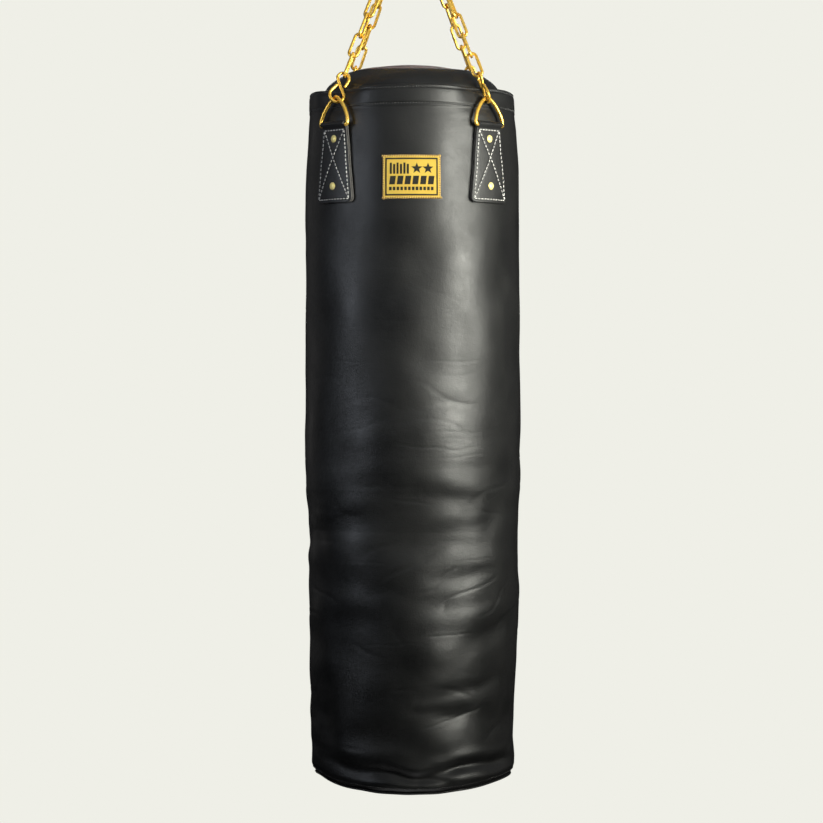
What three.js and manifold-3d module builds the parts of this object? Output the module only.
// Hanging heavy bag: a filled leather punching bag on four chains, which meet at a swivel plate
// under a snap hook.
// Millimetres, +Z up. The origin is where the snap hook's crown bears on the ceiling eye that carries it.
// The front of the bag, with its label, faces -Y. Four identical corners stand at 45 degrees to X and Y.
import * as THREE from "three";
import { mergeVertices } from "three/addons/utils/BufferGeometryUtils.js";
import Module from "manifold-3d";

const wasm = await Module();
wasm.setup();

// ---------- driving dimensions ----------
const GAP = 0.3; // left between pieces that touch
const SIDES = 8; // facets round a thick wire
const CHAIN_SIDES = 6; // facets round a chain's wire
const RIM_FACETS = 40; // facets round the bag

const HOOK = { wire: 8, bowRadius: 15, length: 80, gateAngleRoom: 0.6, tangThickness: 3, pinRadius: 1.3 };
const RING = { wire: 7, radius: 15 };
const EYE = { wire: 7, radius: 12, shankRadius: 5, collarRadius: 9, collarHeight: 4 };
const PLATE = { radius: 36.5, thickness: 5, holeRadius: 6, holeAt: 24 };
const NUT = { radius: 8, height: 6 };

const LINK = { wire: 5, pitch: 38, innerWidth: 10, perChain: 7, roll: 82.5 };
const S_HOOK = { wire: 5, upperRadius: 9.5, lowerRadius: 12, innerLength: 48, roll: 34, seat: 3 };
const D_RING = { wire: 6, halfWidth: 31, height: 47, lean: 6.2 };

const LEATHER = 2.5;
const BAG = { height: 1136, bottomBulge: 26, collarDepth: 34, bandGap: 1.8 };
// Where each strap's ring presses the collar in.
const DENT = { depth: 14.5, fadesAt: -58, flat: 5.5, halfWidth: 17 };
const DOME = { rise: 45, edgeRadius: 146.5, flatness: 3, roundness: 0.62, skirtTo: -72 };
const STRAP = { leaf: 3, topWidth: 54, bottomWidth: 83, barZ: -62, bottomZ: -188, cornerRadius: 9 };
const RIVET = { zs: [-84, -161], headRadius: 6, headHeight: 2.4, shankRadius: 2.5, plateThickness: 1.5 };
const LABEL = { width: 95, height: 71, centreZ: -149, thickness: 1.6 };
const ZIP = {
  back: 45, radius: 520, tilt: 3.2, halfLength: 80,
  tapeWidth: 26, tape: 1, ridgeWidth: 5, ridge: 2.4, rest: 66,
};
const SLIDER = { length: 12, width: 11, height: 6.4 };
const PULL = { length: 26, width: 8, thickness: 1.6, barRadius: 1, reach: 3.2 };

// The shell's outside, as [z below the rim, radius], from rim to bottom seam.
const SHELL_OUTLINE = [
  [0, 168.5],
  [-34, 170],
  [-75, 172],
  [-126, 175],
  [-257, 177],
  [-650, 177.5],
  [-690, 174.5],
  [-846, 172.5],
  [-977, 169.5],
  [-1085, 167.5],
  [-1112, 168.5],
  [-1128, 163],
  [-BAG.height, 157],
];

const radians = THREE.MathUtils.degToRad;

// ---------- heights, from the hook's crown down ----------
const hookBottom = HOOK.wire / 2 - HOOK.length + HOOK.wire; // centre of the lower bow's wire
const bearing = (a, b) => (a.wire + b.wire) / 2 + 2 * GAP; // centre to centre where one wire hangs in another
const ringCentre = hookBottom + bearing(HOOK, RING) - RING.radius;
const ringBottom = ringCentre - RING.radius;
const eyeCentre = ringBottom + bearing(RING, EYE) - EYE.radius;
const shoulderZ = eyeCentre - EYE.radius - 5.5; // underside of the eye's collar, on the plate
const plateZ = shoulderZ - GAP - PLATE.thickness / 2;

// ---------- one chain, in the plane of its corner: +X out from the bag's axis, +Z up ----------
const shellRadiusAt = (z) => {
  const i = Math.max(1, SHELL_OUTLINE.findIndex(([height]) => height <= z));
  const [[z0, r0], [z1, r1]] = [SHELL_OUTLINE[i - 1], SHELL_OUTLINE[i]];
  return r0 + ((z - z0) / (z1 - z0)) * (r1 - r0);
};
const ligament = (PLATE.holeAt + PLATE.holeRadius + PLATE.radius) / 2; // the plate's rim outside a hole
const linkInner = LINK.pitch + GAP;
const topLinkDrop = linkInner / 2 - LINK.innerWidth / 2 + 0.5;
const lastLinkToRing = linkInner / 2 - GAP + S_HOOK.innerLength - S_HOOK.seat - D_RING.wire / 2;
const chainLength = topLinkDrop + (LINK.perChain - 1) * LINK.pitch + lastLinkToRing;
const barRadius = shellRadiusAt(STRAP.barZ) + STRAP.leaf + D_RING.wire / 2 + 4 * GAP;
const leanSin = Math.sin(radians(D_RING.lean));
const leanCos = Math.cos(radians(D_RING.lean));
const apexRadius = barRadius - D_RING.height * leanSin;
const apexZ = STRAP.barZ + D_RING.height * leanCos;
const chainRise = Math.sqrt(chainLength ** 2 - (apexRadius - ligament) ** 2);
const rimZ = plateZ - apexZ - chainRise; // the rim's height in the part's frame
const chainTop = new THREE.Vector3(ligament, 0, plateZ - rimZ);
const ringApex = new THREE.Vector3(apexRadius, 0, apexZ);
const chainDown = ringApex.clone().sub(chainTop).normalize();

// ---------- materials ----------
const finish = (color, roughness, metalness) =>
  new THREE.MeshStandardMaterial({ color, roughness, metalness });
const material = {
  leather: finish(0x17181a, 0.45, 0),
  strapLeather: finish(0x1d1e20, 0.55, 0),
  gold: finish(0xe0a61e, 0.22, 1),
  steel: finish(0x9a9c9e, 0.35, 1),
  foam: finish(0x4c5058, 0.95, 0),
  textile: finish(0x8b8478, 0.98, 0),
  patch: finish(0xe3bd48, 0.7, 0),
  zip: finish(0x101010, 0.7, 0),
};

// ---------- helpers ----------
const part = new THREE.Group();
const bag = new THREE.Group(); // its origin is the rim's centre
bag.position.z = rimZ;
part.add(bag);

const addTo = (group, name, geometry, look) => {
  const mesh = new THREE.Mesh(geometry, look);
  mesh.name = name;
  group.add(mesh);
  return mesh;
};

const solidOf = (geometry) => {
  const bare = geometry.clone();
  bare.deleteAttribute("normal");
  bare.deleteAttribute("uv");
  const merged = mergeVertices(bare, 1e-3);
  const vertProperties = merged.attributes.position.array;
  const triVerts = new Uint32Array(merged.index.array);
  return new wasm.Manifold(new wasm.Mesh({ numProp: 3, vertProperties, triVerts }));
};

const geometryOf = (solid) => {
  const mesh = solid.simplify(0.02).getMesh(); // drops slivers that a cut leaves
  return new THREE.BufferGeometry()
    .setAttribute("position", new THREE.BufferAttribute(mesh.vertProperties, 3))
    .setIndex(new THREE.BufferAttribute(mesh.triVerts, 1));
};

const cut = (geometry, ...tools) =>
  geometryOf(tools.reduce((s, t) => s.subtract(solidOf(t)), solidOf(geometry)));
const join = (geometry, ...more) =>
  geometryOf(more.reduce((s, t) => s.add(solidOf(t)), solidOf(geometry)));

// A solid of revolution about Z from a closed [radius, z] profile that runs counter-clockwise.
const turned = (profile, facets = RIM_FACETS) => {
  const points = profile.map(([r, z]) => new THREE.Vector2(r, z));
  return new THREE.LatheGeometry(points, facets).rotateX(Math.PI / 2);
};

// A round bar between two heights on the Z axis.
const bar = (radius, low, high, facets = 16) =>
  new THREE.CylinderGeometry(radius, radius, high - low, facets)
    .rotateX(Math.PI / 2)
    .translate(0, 0, (low + high) / 2);

const box = (x, y, z, at) => new THREE.BoxGeometry(x, y, z).translate(...at);

const wireSection = (wire, sides = SIDES) => {
  const turn = (i) => ((i + 0.5) / sides) * 2 * Math.PI;
  const corner = (i) => new THREE.Vector2((Math.cos(turn(i)) * wire) / 2, (Math.sin(turn(i)) * wire) / 2);
  return new THREE.Shape(Array.from({ length: sides }, (_, i) => corner(i)));
};

// A bent wire with two ends.
const bentWire = (points, wire, steps, sides = SIDES) => {
  const path = new THREE.CatmullRomCurve3(points);
  const along = { steps, extrudePath: path, bevelEnabled: false };
  return new THREE.ExtrudeGeometry(wireSection(wire, sides), along);
};

// Points on an arc in the XY plane, angles in degrees.
const arc = (cx, cy, radius, from, to, count) =>
  Array.from({ length: count }, (_, i) => {
    const a = radians(from + ((to - from) * i) / (count - 1));
    return new THREE.Vector3(cx + radius * Math.cos(a), cy + radius * Math.sin(a), 0);
  });

// A sheet with a thickness: at(u, v, side) gives its point for u and v from 0 to 1 on side 0 and side 1.
const thickSheet = (columns, rows, at) => {
  const positions = [];
  const index = [];
  const count = (columns + 1) * (rows + 1);
  for (const side of [0, 1])
    for (let j = 0; j <= rows; j++)
      for (let i = 0; i <= columns; i++) positions.push(...at(i / columns, j / rows, side));
  const id = (i, j, side) => side * count + j * (columns + 1) + i;
  const quad = (a, b, c, d) => index.push(a, b, c, a, c, d);
  for (let j = 0; j < rows; j++)
    for (let i = 0; i < columns; i++) {
      quad(id(i, j, 1), id(i + 1, j, 1), id(i + 1, j + 1, 1), id(i, j + 1, 1));
      quad(id(i, j, 0), id(i, j + 1, 0), id(i + 1, j + 1, 0), id(i + 1, j, 0));
    }
  for (let i = 0; i < columns; i++) {
    quad(id(i, 0, 0), id(i + 1, 0, 0), id(i + 1, 0, 1), id(i, 0, 1));
    quad(id(i, rows, 0), id(i, rows, 1), id(i + 1, rows, 1), id(i + 1, rows, 0));
  }
  for (let j = 0; j < rows; j++) {
    quad(id(0, j, 0), id(0, j, 1), id(0, j + 1, 1), id(0, j + 1, 0));
    quad(id(columns, j, 0), id(columns, j + 1, 0), id(columns, j + 1, 1), id(columns, j, 1));
  }
  return new THREE.BufferGeometry()
    .setAttribute("position", new THREE.Float32BufferAttribute(positions, 3))
    .setIndex(index);
};

// Places a piece drawn in its own XY plane: its Y axis goes along up, and its Z axis as near normal
// as it can.
const stand = (mesh, at, up, normal) => {
  const y = up.clone().normalize();
  const z = normal.clone().addScaledVector(y, -normal.dot(y)).normalize();
  const x = new THREE.Vector3().crossVectors(y, z);
  mesh.quaternion.setFromRotationMatrix(new THREE.Matrix4().makeBasis(x, y, z));
  mesh.position.copy(at);
  return mesh;
};

// ---------- hanging gear ----------
const makeHook = () => {
  const { wire, bowRadius: r, length } = HOOK;
  const top = wire / 2 - r; // centre of the upper bow
  const bottom = hookBottom + r; // centre of the lower bow
  const hinge = bottom + 9;
  const nose = top - 3;
  const straight = (x, from, to) =>
    [0.25, 0.5, 0.75].map((t) => new THREE.Vector3(x, from + (to - from) * t, 0));
  const spine = [
    new THREE.Vector3(r, hinge - 5, 0),
    ...arc(0, bottom, r, 0, -180, 9),
    ...straight(-r, bottom, top),
    ...arc(0, top, r, 180, 0, 9),
    new THREE.Vector3(r, nose, 0),
  ];
  const upright = (geometry) => geometry.rotateX(Math.PI / 2); // from the drawing's XY plane to XZ
  const pinHole = upright(bar(HOOK.pinRadius + GAP, -wire, wire, 12).translate(r, hinge, 0));
  const tang = box(6, HOOK.tangThickness, 11, [r, 0, hinge - 2.5]);
  const body = cut(join(upright(bentWire(spine, wire, 32)), tang), pinHole);
  addTo(part, "hook_body", body, material.steel);

  const gateTop = nose - HOOK.gateAngleRoom;
  const gateBottom = hinge - 3.5;
  const rod = bar(wire / 2, gateBottom, gateTop, 12).translate(r, 0, 0);
  const slotTop = hinge + 4.8;
  const slot = box(wire + 2, HOOK.tangThickness + 2 * GAP, slotTop - gateBottom + 2, [
    r,
    0,
    (slotTop + gateBottom - 2) / 2,
  ]);
  const heel = bar(wire, hinge - 12, gateBottom + 0.2, 12).translate(r, 0, 0);
  const pin = upright(bar(HOOK.pinRadius, -wire / 2 + 0.6, wire / 2 - 0.6, 12).translate(r, hinge, 0));
  addTo(part, "hook_gate", join(cut(rod, slot, heel), pin), material.steel);
};

const makeSwivel = () => {
  const ring = new THREE.TorusGeometry(RING.radius, RING.wire / 2, SIDES, 16).rotateY(Math.PI / 2);
  addTo(part, "top_ring", ring, material.steel).position.z = ringCentre;

  const loop = new THREE.TorusGeometry(EYE.radius, EYE.wire / 2, SIDES, 16).rotateX(Math.PI / 2);
  loop.translate(0, 0, eyeCentre);
  const plateTop = plateZ + PLATE.thickness / 2;
  const nutTop = plateZ - PLATE.thickness / 2 - GAP;
  const shank = bar(EYE.shankRadius, nutTop - NUT.height, eyeCentre - EYE.radius + 1);
  const collar = bar(EYE.collarRadius, plateTop + GAP, plateTop + GAP + EYE.collarHeight);
  addTo(part, "swivel_eye", join(loop, shank, collar), material.steel);

  const hexagon = bar(NUT.radius, nutTop - NUT.height + 0.5, nutTop, 6);
  const nut = cut(hexagon, bar(EYE.shankRadius + GAP, nutTop - 20, nutTop + 5));
  addTo(part, "swivel_nut", nut, material.steel);

  const hole = (i) => {
    const a = ((i + 0.5) * Math.PI) / 2;
    const at = [PLATE.holeAt * Math.cos(a), PLATE.holeAt * Math.sin(a), 0];
    return bar(PLATE.holeRadius, plateZ - 9, plateZ + 9, 12).translate(...at);
  };
  const disc = bar(PLATE.radius, plateZ - PLATE.thickness / 2, plateTop, 32);
  const centreHole = bar(EYE.shankRadius + 2 * GAP, plateZ - 9, plateZ + 9);
  addTo(part, "swivel_plate", cut(disc, centreHole, ...[0, 1, 2, 3].map(hole)), material.steel);
};

// ---------- one corner: chain, S-hook, D-ring, strap and rivets ----------
// A chain link drawn in the XY plane, long in Y: a torus whose two halves are drawn apart.
const linkGeometry = () => {
  const around = 8;
  const half = Math.PI / around;
  const radius = (LINK.innerWidth + LINK.wire) / 2 / Math.cos(half);
  const geometry = new THREE.TorusGeometry(radius, LINK.wire / 2, CHAIN_SIDES, around).rotateZ(half);
  const stretch = (linkInner - LINK.innerWidth) / 2;
  const position = geometry.attributes.position;
  for (let i = 0; i < position.count; i++) {
    position.setY(i, position.getY(i) + Math.sign(position.getY(i)) * stretch);
  }
  return geometry;
};

// An S-hook drawn in the XY plane, its bearing points on the Y axis.
const sHookGeometry = () => {
  const { wire, upperRadius, lowerRadius, innerLength } = S_HOOK;
  const upper = innerLength / 2 - upperRadius + wire / 2;
  const lower = -innerLength / 2 + lowerRadius - wire / 2;
  const points = [
    new THREE.Vector3(7.8, upper - 12.5, 0),
    ...arc(0, upper, upperRadius, -20, 200, 9),
    new THREE.Vector3(0.8, 0.6, 0),
    ...arc(0, lower, lowerRadius, 20, -200, 10),
    new THREE.Vector3(-6.6, lower + 15.5, 0),
  ];
  return bentWire(points, wire, 26, CHAIN_SIDES);
};

// A D-ring drawn in the XY plane, its bar on the X axis: a pointed arch over the bar.
const dRingGeometry = () => {
  const { halfWidth: w, height: h, wire } = D_RING;
  const side = [
    [w - 1.6, 0.3],
    [w, 4],
    [w - 1.5, 13],
    [w - 7, 24],
    [w - 15, 35],
    [w - 25, h - 3.5],
  ];
  const points = [
    ...side.map(([x, y]) => new THREE.Vector3(x, y, 0)),
    new THREE.Vector3(0, h, 0),
    ...side.toReversed().map(([x, y]) => new THREE.Vector3(-x, y, 0)),
  ];
  const foot = (x) => new THREE.Vector3(x, 0, 0);
  const centreline = [foot(w - 14), foot(w - 6), ...points, foot(6 - w), foot(14 - w)];
  const arch = bentWire(centreline, wire, 26, CHAIN_SIDES);
  const across = bentWire([foot(13 - w), foot(0), foot(w - 13)], wire, 1, CHAIN_SIDES);
  return join(arch, across);
};

// A point on the bag for a distance along from a corner's centre line, with the given stand-off.
// Near the bar the strap is flat; bend 1 follows the bag's curve.
const onBag = (along, z, radius, bend) => {
  const angle = along / radius;
  const round = [radius * Math.cos(angle), radius * Math.sin(angle)];
  return [radius + bend * (round[0] - radius), along + bend * (round[1] - along), z];
};

const strapHalfWidth = (z) => {
  const share = (STRAP.barZ - z) / (STRAP.barZ - STRAP.bottomZ);
  const straight = (STRAP.topWidth + (STRAP.bottomWidth - STRAP.topWidth) * Math.max(0, share)) / 2;
  const intoCorner = STRAP.bottomZ + STRAP.cornerRadius - z;
  if (intoCorner <= 0) return straight;
  return straight - STRAP.cornerRadius + Math.sqrt(STRAP.cornerRadius ** 2 - intoCorner ** 2);
};

// The strap is one strip of leather folded over the ring's bar, with both leaves lying down the bag.
const strapGeometry = () => {
  const inner = D_RING.wire / 2 + 2 * GAP;
  const leafGap = GAP;
  const leafHeights = [-188, -185.4, -179, -126, -100, -77];
  const section = [];
  for (const z of leafHeights) section.push({ z, off: STRAP.leaf, side: -1 });
  for (let a = 180; a >= 0; a -= 45) section.push({ angle: a });
  for (const z of leafHeights.toReversed()) section.push({ z, off: STRAP.leaf + leafGap, side: 1 });
  const at = (u, v, side) => {
    const s = section[Math.round(v * (section.length - 1))];
    if (s.angle !== undefined) {
      const radius = inner + (side ? STRAP.leaf : 0);
      const z = STRAP.barZ + radius * Math.sin(radians(s.angle));
      const r = barRadius + radius * Math.cos(radians(s.angle));
      return onBag((0.5 - u) * STRAP.topWidth, z, r, 0);
    }
    const base = shellRadiusAt(s.z) + 1.5 * GAP;
    const innerFace = s.side < 0 ? base + STRAP.leaf : base + STRAP.leaf + leafGap;
    const radius = innerFace + (side ? s.side * STRAP.leaf : 0);
    return onBag((0.5 - u) * 2 * strapHalfWidth(s.z), s.z, radius, Math.min(1, (STRAP.barZ - s.z) / 40));
  };
  return thickSheet(5, section.length - 1, at);
};

// Two rivets set in one backing plate inside the shell.
const strapOutside = (z) => shellRadiusAt(z) + 1.5 * GAP + 2 * STRAP.leaf + GAP;
const radialBar = (radius, from, to, z, facets = 8) =>
  new THREE.CylinderGeometry(radius, radius, to - from, facets)
    .rotateZ(-Math.PI / 2)
    .translate((from + to) / 2, 0, z);

const backingRadius = (z) => shellRadiusAt(z) - LEATHER - 4 * GAP;
const rivetGeometry = () => {
  const [high, low] = RIVET.zs;
  const plate = thickSheet(3, 2, (u, v, side) => {
    const z = low - 10 + v * (high - low + 20);
    return onBag((u - 0.5) * 34, z, backingRadius(z) - (side ? 0 : RIVET.plateThickness), 1);
  });
  const pieces = RIVET.zs.flatMap((z) => {
    const face = strapOutside(z) + 2 * GAP;
    const { headRadius: r, headHeight: h } = RIVET;
    const head = turned([[0, 0], [r, 0], [r, 0.6], [r * 0.7, h * 0.8], [0, h]], 10);
    head.rotateY(Math.PI / 2).translate(face, 0, z);
    return [radialBar(RIVET.shankRadius, backingRadius(z) - 1, face + 0.5, z), head];
  });
  return join(plate, ...pieces);
};

const CORNERS = ["front_left", "front_right", "back_right", "back_left"];
const cornerAngle = (i) => radians(225 + 90 * i);

const rivetHole = (z) => radialBar(RIVET.shankRadius + GAP, shellRadiusAt(z) - 12, shellRadiusAt(z) + 14, z);

const makeCorner = (place, i) => {
  const corner = new THREE.Group();
  corner.rotation.z = cornerAngle(i);
  bag.add(corner);

  const tangent = new THREE.Vector3(0, 1, 0);
  const outward = new THREE.Vector3().crossVectors(tangent, chainDown).negate();
  const up = chainDown.clone().negate();
  const twist = i < 2 ? 1 : -1; // the front and back chains are twisted opposite ways
  const rolled = (degrees) => {
    const a = radians(twist * degrees);
    return tangent.clone().multiplyScalar(Math.cos(a)).addScaledVector(outward, Math.sin(a));
  };
  const down = (distance) => chainTop.clone().addScaledVector(chainDown, distance);

  for (let k = LINK.perChain; k >= 1; k--) {
    const above = LINK.perChain - k;
    const link = addTo(corner, `chain_${place}_link_${k}`, linkGeometry(), material.gold);
    stand(link, down(topLinkDrop + above * LINK.pitch), up, rolled(above * LINK.roll));
  }
  const hookCentre = down(chainLength + D_RING.wire / 2 + S_HOOK.seat - S_HOOK.innerLength / 2);
  const sHook = addTo(corner, `s_hook_${place}`, sHookGeometry(), material.gold);
  stand(sHook, hookCentre, up, rolled(S_HOOK.roll));

  const ringUp = new THREE.Vector3(-leanSin, 0, leanCos);
  const ringNormal = new THREE.Vector3(leanCos, 0, leanSin);
  const ring = addTo(corner, `d_ring_${place}`, dRingGeometry(), material.gold);
  stand(ring, new THREE.Vector3(barRadius, 0, STRAP.barZ), ringUp, ringNormal);

  addTo(corner, `strap_${place}`, cut(strapGeometry(), ...RIVET.zs.map(rivetHole)), material.strapLeather);
  addTo(corner, `rivets_${place}`, rivetGeometry(), material.gold);
};

// ---------- the bag ----------
// Presses the collar in at each corner. The dent is deepest at the rim and fades out down the bag.
const dented = (geometry) => {
  const position = geometry.attributes.position;
  for (let i = 0; i < position.count; i++) {
    const [x, y, z] = [position.getX(i), position.getY(i), position.getZ(i)];
    const fromCorner = Math.abs(((THREE.MathUtils.radToDeg(Math.atan2(y, x)) + 360) % 90) - 45);
    const across = 1 - THREE.MathUtils.smoothstep(fromCorner, DENT.flat, DENT.halfWidth);
    const downward = THREE.MathUtils.clamp(1 - z / DENT.fadesAt, 0, 1);
    const radius = Math.hypot(x, y);
    const share = (radius - DENT.depth * across * downward) / radius;
    position.setXY(i, x * share, y * share);
  }
  return geometry;
};

// A closed ring profile between two offsets from the shell's outside, for heights from high to low.
const wallProfile = (outerOffset, innerOffset, heights) => [
  ...heights.toReversed().map((z) => [shellRadiusAt(z) - outerOffset, z]),
  ...heights.map((z) => [shellRadiusAt(z) - innerOffset, z]),
  [shellRadiusAt(heights.at(-1)) - outerOffset, heights.at(-1)],
];

const makeShell = () => {
  const heights = [0, -17, -34, -58, -126, -257, -650, -690, -977, -1085, -1112, -1128];
  const tube = dented(turned(wallProfile(0, LEATHER, heights)));
  const holes = CORNERS.flatMap((_, i) => RIVET.zs.map((z) => rivetHole(z).rotateZ(cornerAngle(i))));
  addTo(bag, "bag_shell", cut(tube, ...holes), material.leather);

  const bandOffset = LEATHER + BAG.bandGap;
  const band = dented(turned(wallProfile(bandOffset, bandOffset + 2, [-1.5, -17, -BAG.collarDepth])));
  addTo(bag, "collar_band", band, material.strapLeather);
};

// The dome's height over the rim: nearly flat on top, then falling steeply to its edge.
const domeHeight = (radius, offset = 0) => {
  const share = Math.min(1, radius / (DOME.edgeRadius - offset));
  return (DOME.rise - offset) * (1 - share ** DOME.flatness) ** DOME.roundness;
};

// Points on the dome, from its edge to its crown, for a surface the given offset inside it.
const domeArc = (offset, shares = [1, 0.99, 0.95, 0.85, 0.68, 0.4, 0]) =>
  shares.map((share) => {
    const radius = share * (DOME.edgeRadius - offset);
    return [radius, domeHeight(radius, offset)];
  });

const makeInside = () => {
  const inside = (z) => shellRadiusAt(z) - LEATHER - GAP;
  const edge = DOME.edgeRadius;
  const cover = [
    [edge, DOME.skirtTo],
    ...domeArc(0),
    ...domeArc(LEATHER).reverse(),
    [edge - LEATHER, DOME.skirtTo],
    [edge, DOME.skirtTo],
  ];
  addTo(bag, "top_cover", turned(cover), material.leather);

  const foamTop = -77;
  const foam = 20;
  const foamBottom = -1105;
  const foamHeights = [foamTop, -185, -186, -650, -690, -977, -1085, foamBottom];
  const foamSlack = (z) => (z > -185.5 ? 2.6 : 0.2); // room for the rivets' backing plates
  const foamInner = (z) => inside(z) - foam;
  const sleeve = [
    ...foamHeights.toReversed().map((z) => [inside(z) - foamSlack(z), z]),
    ...foamHeights.map((z) => [foamInner(z), z]),
    [inside(foamBottom) - 0.2, foamBottom],
  ];
  addTo(bag, "foam_sleeve", turned(sleeve, RIM_FACETS / 2), material.foam);

  const slack = LEATHER + 4 * GAP;
  const fill = [
    [0, 4 - BAG.height],
    [foamInner(foamBottom) - GAP, 12 - BAG.height],
    ...foamHeights.toReversed().map((z) => [foamInner(z) - GAP, z]),
    [edge - slack, foamTop],
    ...domeArc(slack, [1, 0.93, 0.75, 0]),
  ];
  addTo(bag, "filling", turned(fill, RIM_FACETS / 2), material.textile);
};

const makeBottom = () => {
  const seam = -1128 - GAP;
  const seamRadius = shellRadiusAt(seam);
  const low = -BAG.height - BAG.bottomBulge;
  const panel = [
    [0, low],
    [80, low + 4],
    [125, low + 13],
    [seamRadius - 7, 2 - BAG.height],
    [seamRadius - 0.5, seam],
    [seamRadius - LEATHER - 0.5, seam],
    [seamRadius - 10, 4 - BAG.height],
    [123, low + 16],
    [78, low + 7],
    [0, low + LEATHER],
  ];
  addTo(bag, "bottom_panel", turned(panel), material.leather);
};

const makeLabel = () => {
  const patch = thickSheet(10, 4, (u, v, side) => {
    const z = LABEL.centreZ + (v - 0.5) * LABEL.height;
    return onBag((u - 0.5) * LABEL.width, z, shellRadiusAt(z) + 1.5 * GAP + side * LABEL.thickness, 1);
  });
  addTo(bag, "label_patch", patch, material.patch).rotation.z = -Math.PI / 2;
};

// ---------- the zip: a ridge on a tape that lies along a shallow arc behind the dome's crown ----------
const makeZip = () => {
  const zip = new THREE.Group();
  zip.position.set(0, ZIP.back, domeHeight(ZIP.back));
  zip.rotation.x = radians(-ZIP.tilt);
  zip.translateZ(-ZIP.radius);
  bag.add(zip);
  const base = ZIP.radius + 4 * GAP;
  const w = ZIP.tapeWidth / 2;
  const c = ZIP.ridgeWidth / 2;
  // The section as [distance from the middle, height over the dome].
  const section = [
    [w, 0],
    [-w, 0],
    [-w, ZIP.tape],
    [-c, ZIP.tape],
    [-c, ZIP.ridge],
    [c, ZIP.ridge],
    [c, ZIP.tape],
    [w, ZIP.tape],
  ];
  const profile = [...section, section[0]].map(([y, h]) => new THREE.Vector2(base + h, y));
  const sweep = (2 * ZIP.halfLength) / ZIP.radius;
  const steps = 6;
  const rows = new THREE.LatheGeometry(profile, steps, 0, sweep);
  const ends = [0, steps].flatMap((j) => {
    const flat = THREE.ShapeUtils.triangulateShape(profile.slice(0, -1), []);
    const first = j * profile.length;
    const turned = (p, q, r) => (j ? [first + p, first + r, first + q] : [first + p, first + q, first + r]);
    return flat.flatMap(([p, q, r]) => turned(p, q, r));
  });
  rows.setIndex([...rows.index.array, ...ends]);
  // The lathe turns about Y from +Z towards +X: bring the arc's middle to the top.
  rows.rotateY(-sweep / 2);
  addTo(zip, "zip_strip", rows, material.zip);

  const along = new THREE.Group();
  along.rotation.y = -ZIP.rest / ZIP.radius;
  zip.add(along);
  const floor = base + ZIP.tape + GAP;
  const lid = base + ZIP.ridge + GAP;
  const top = base + SLIDER.height;
  const { length, width } = SLIDER;
  const block = box(length, width, top - floor, [0, 0, (top + floor) / 2]);
  const channel = box(length + 2, ZIP.ridgeWidth + 2 * GAP, lid - floor + 2, [0, 0, (lid + floor) / 2 - 1]);
  const lugHeight = 3;
  const lug = (y) => box(4, 1.6, lugHeight, [0, y, top + lugHeight / 2 - 0.1]);
  const cross = (radius, from, to) =>
    new THREE.CylinderGeometry(radius, radius, to - from, 10).translate(0, (from + to) / 2, top + 1.4);
  const lugHoles = cross(PULL.barRadius + GAP, -width, width);
  const slider = cut(join(cut(block, channel), lug(-PULL.reach - 1.2), lug(PULL.reach + 1.2)), lugHoles);
  addTo(along, "zip_slider", slider, material.gold);

  const tab = box(PULL.length, PULL.width - 3, PULL.thickness, [PULL.length / 2 + 0.2, 0, top + 1.4]);
  const pivot = cross(PULL.barRadius, -PULL.reach - 1.9, PULL.reach + 1.9);
  const hang = box(8, PULL.width, PULL.thickness, [PULL.length, 0, top + 1.4]);
  addTo(along, "zip_pull", join(tab, pivot, hang), material.gold);
};

makeHook();
makeSwivel();
CORNERS.forEach(makeCorner);
makeShell();
makeInside();
makeBottom();
makeLabel();
makeZip();

export default part;
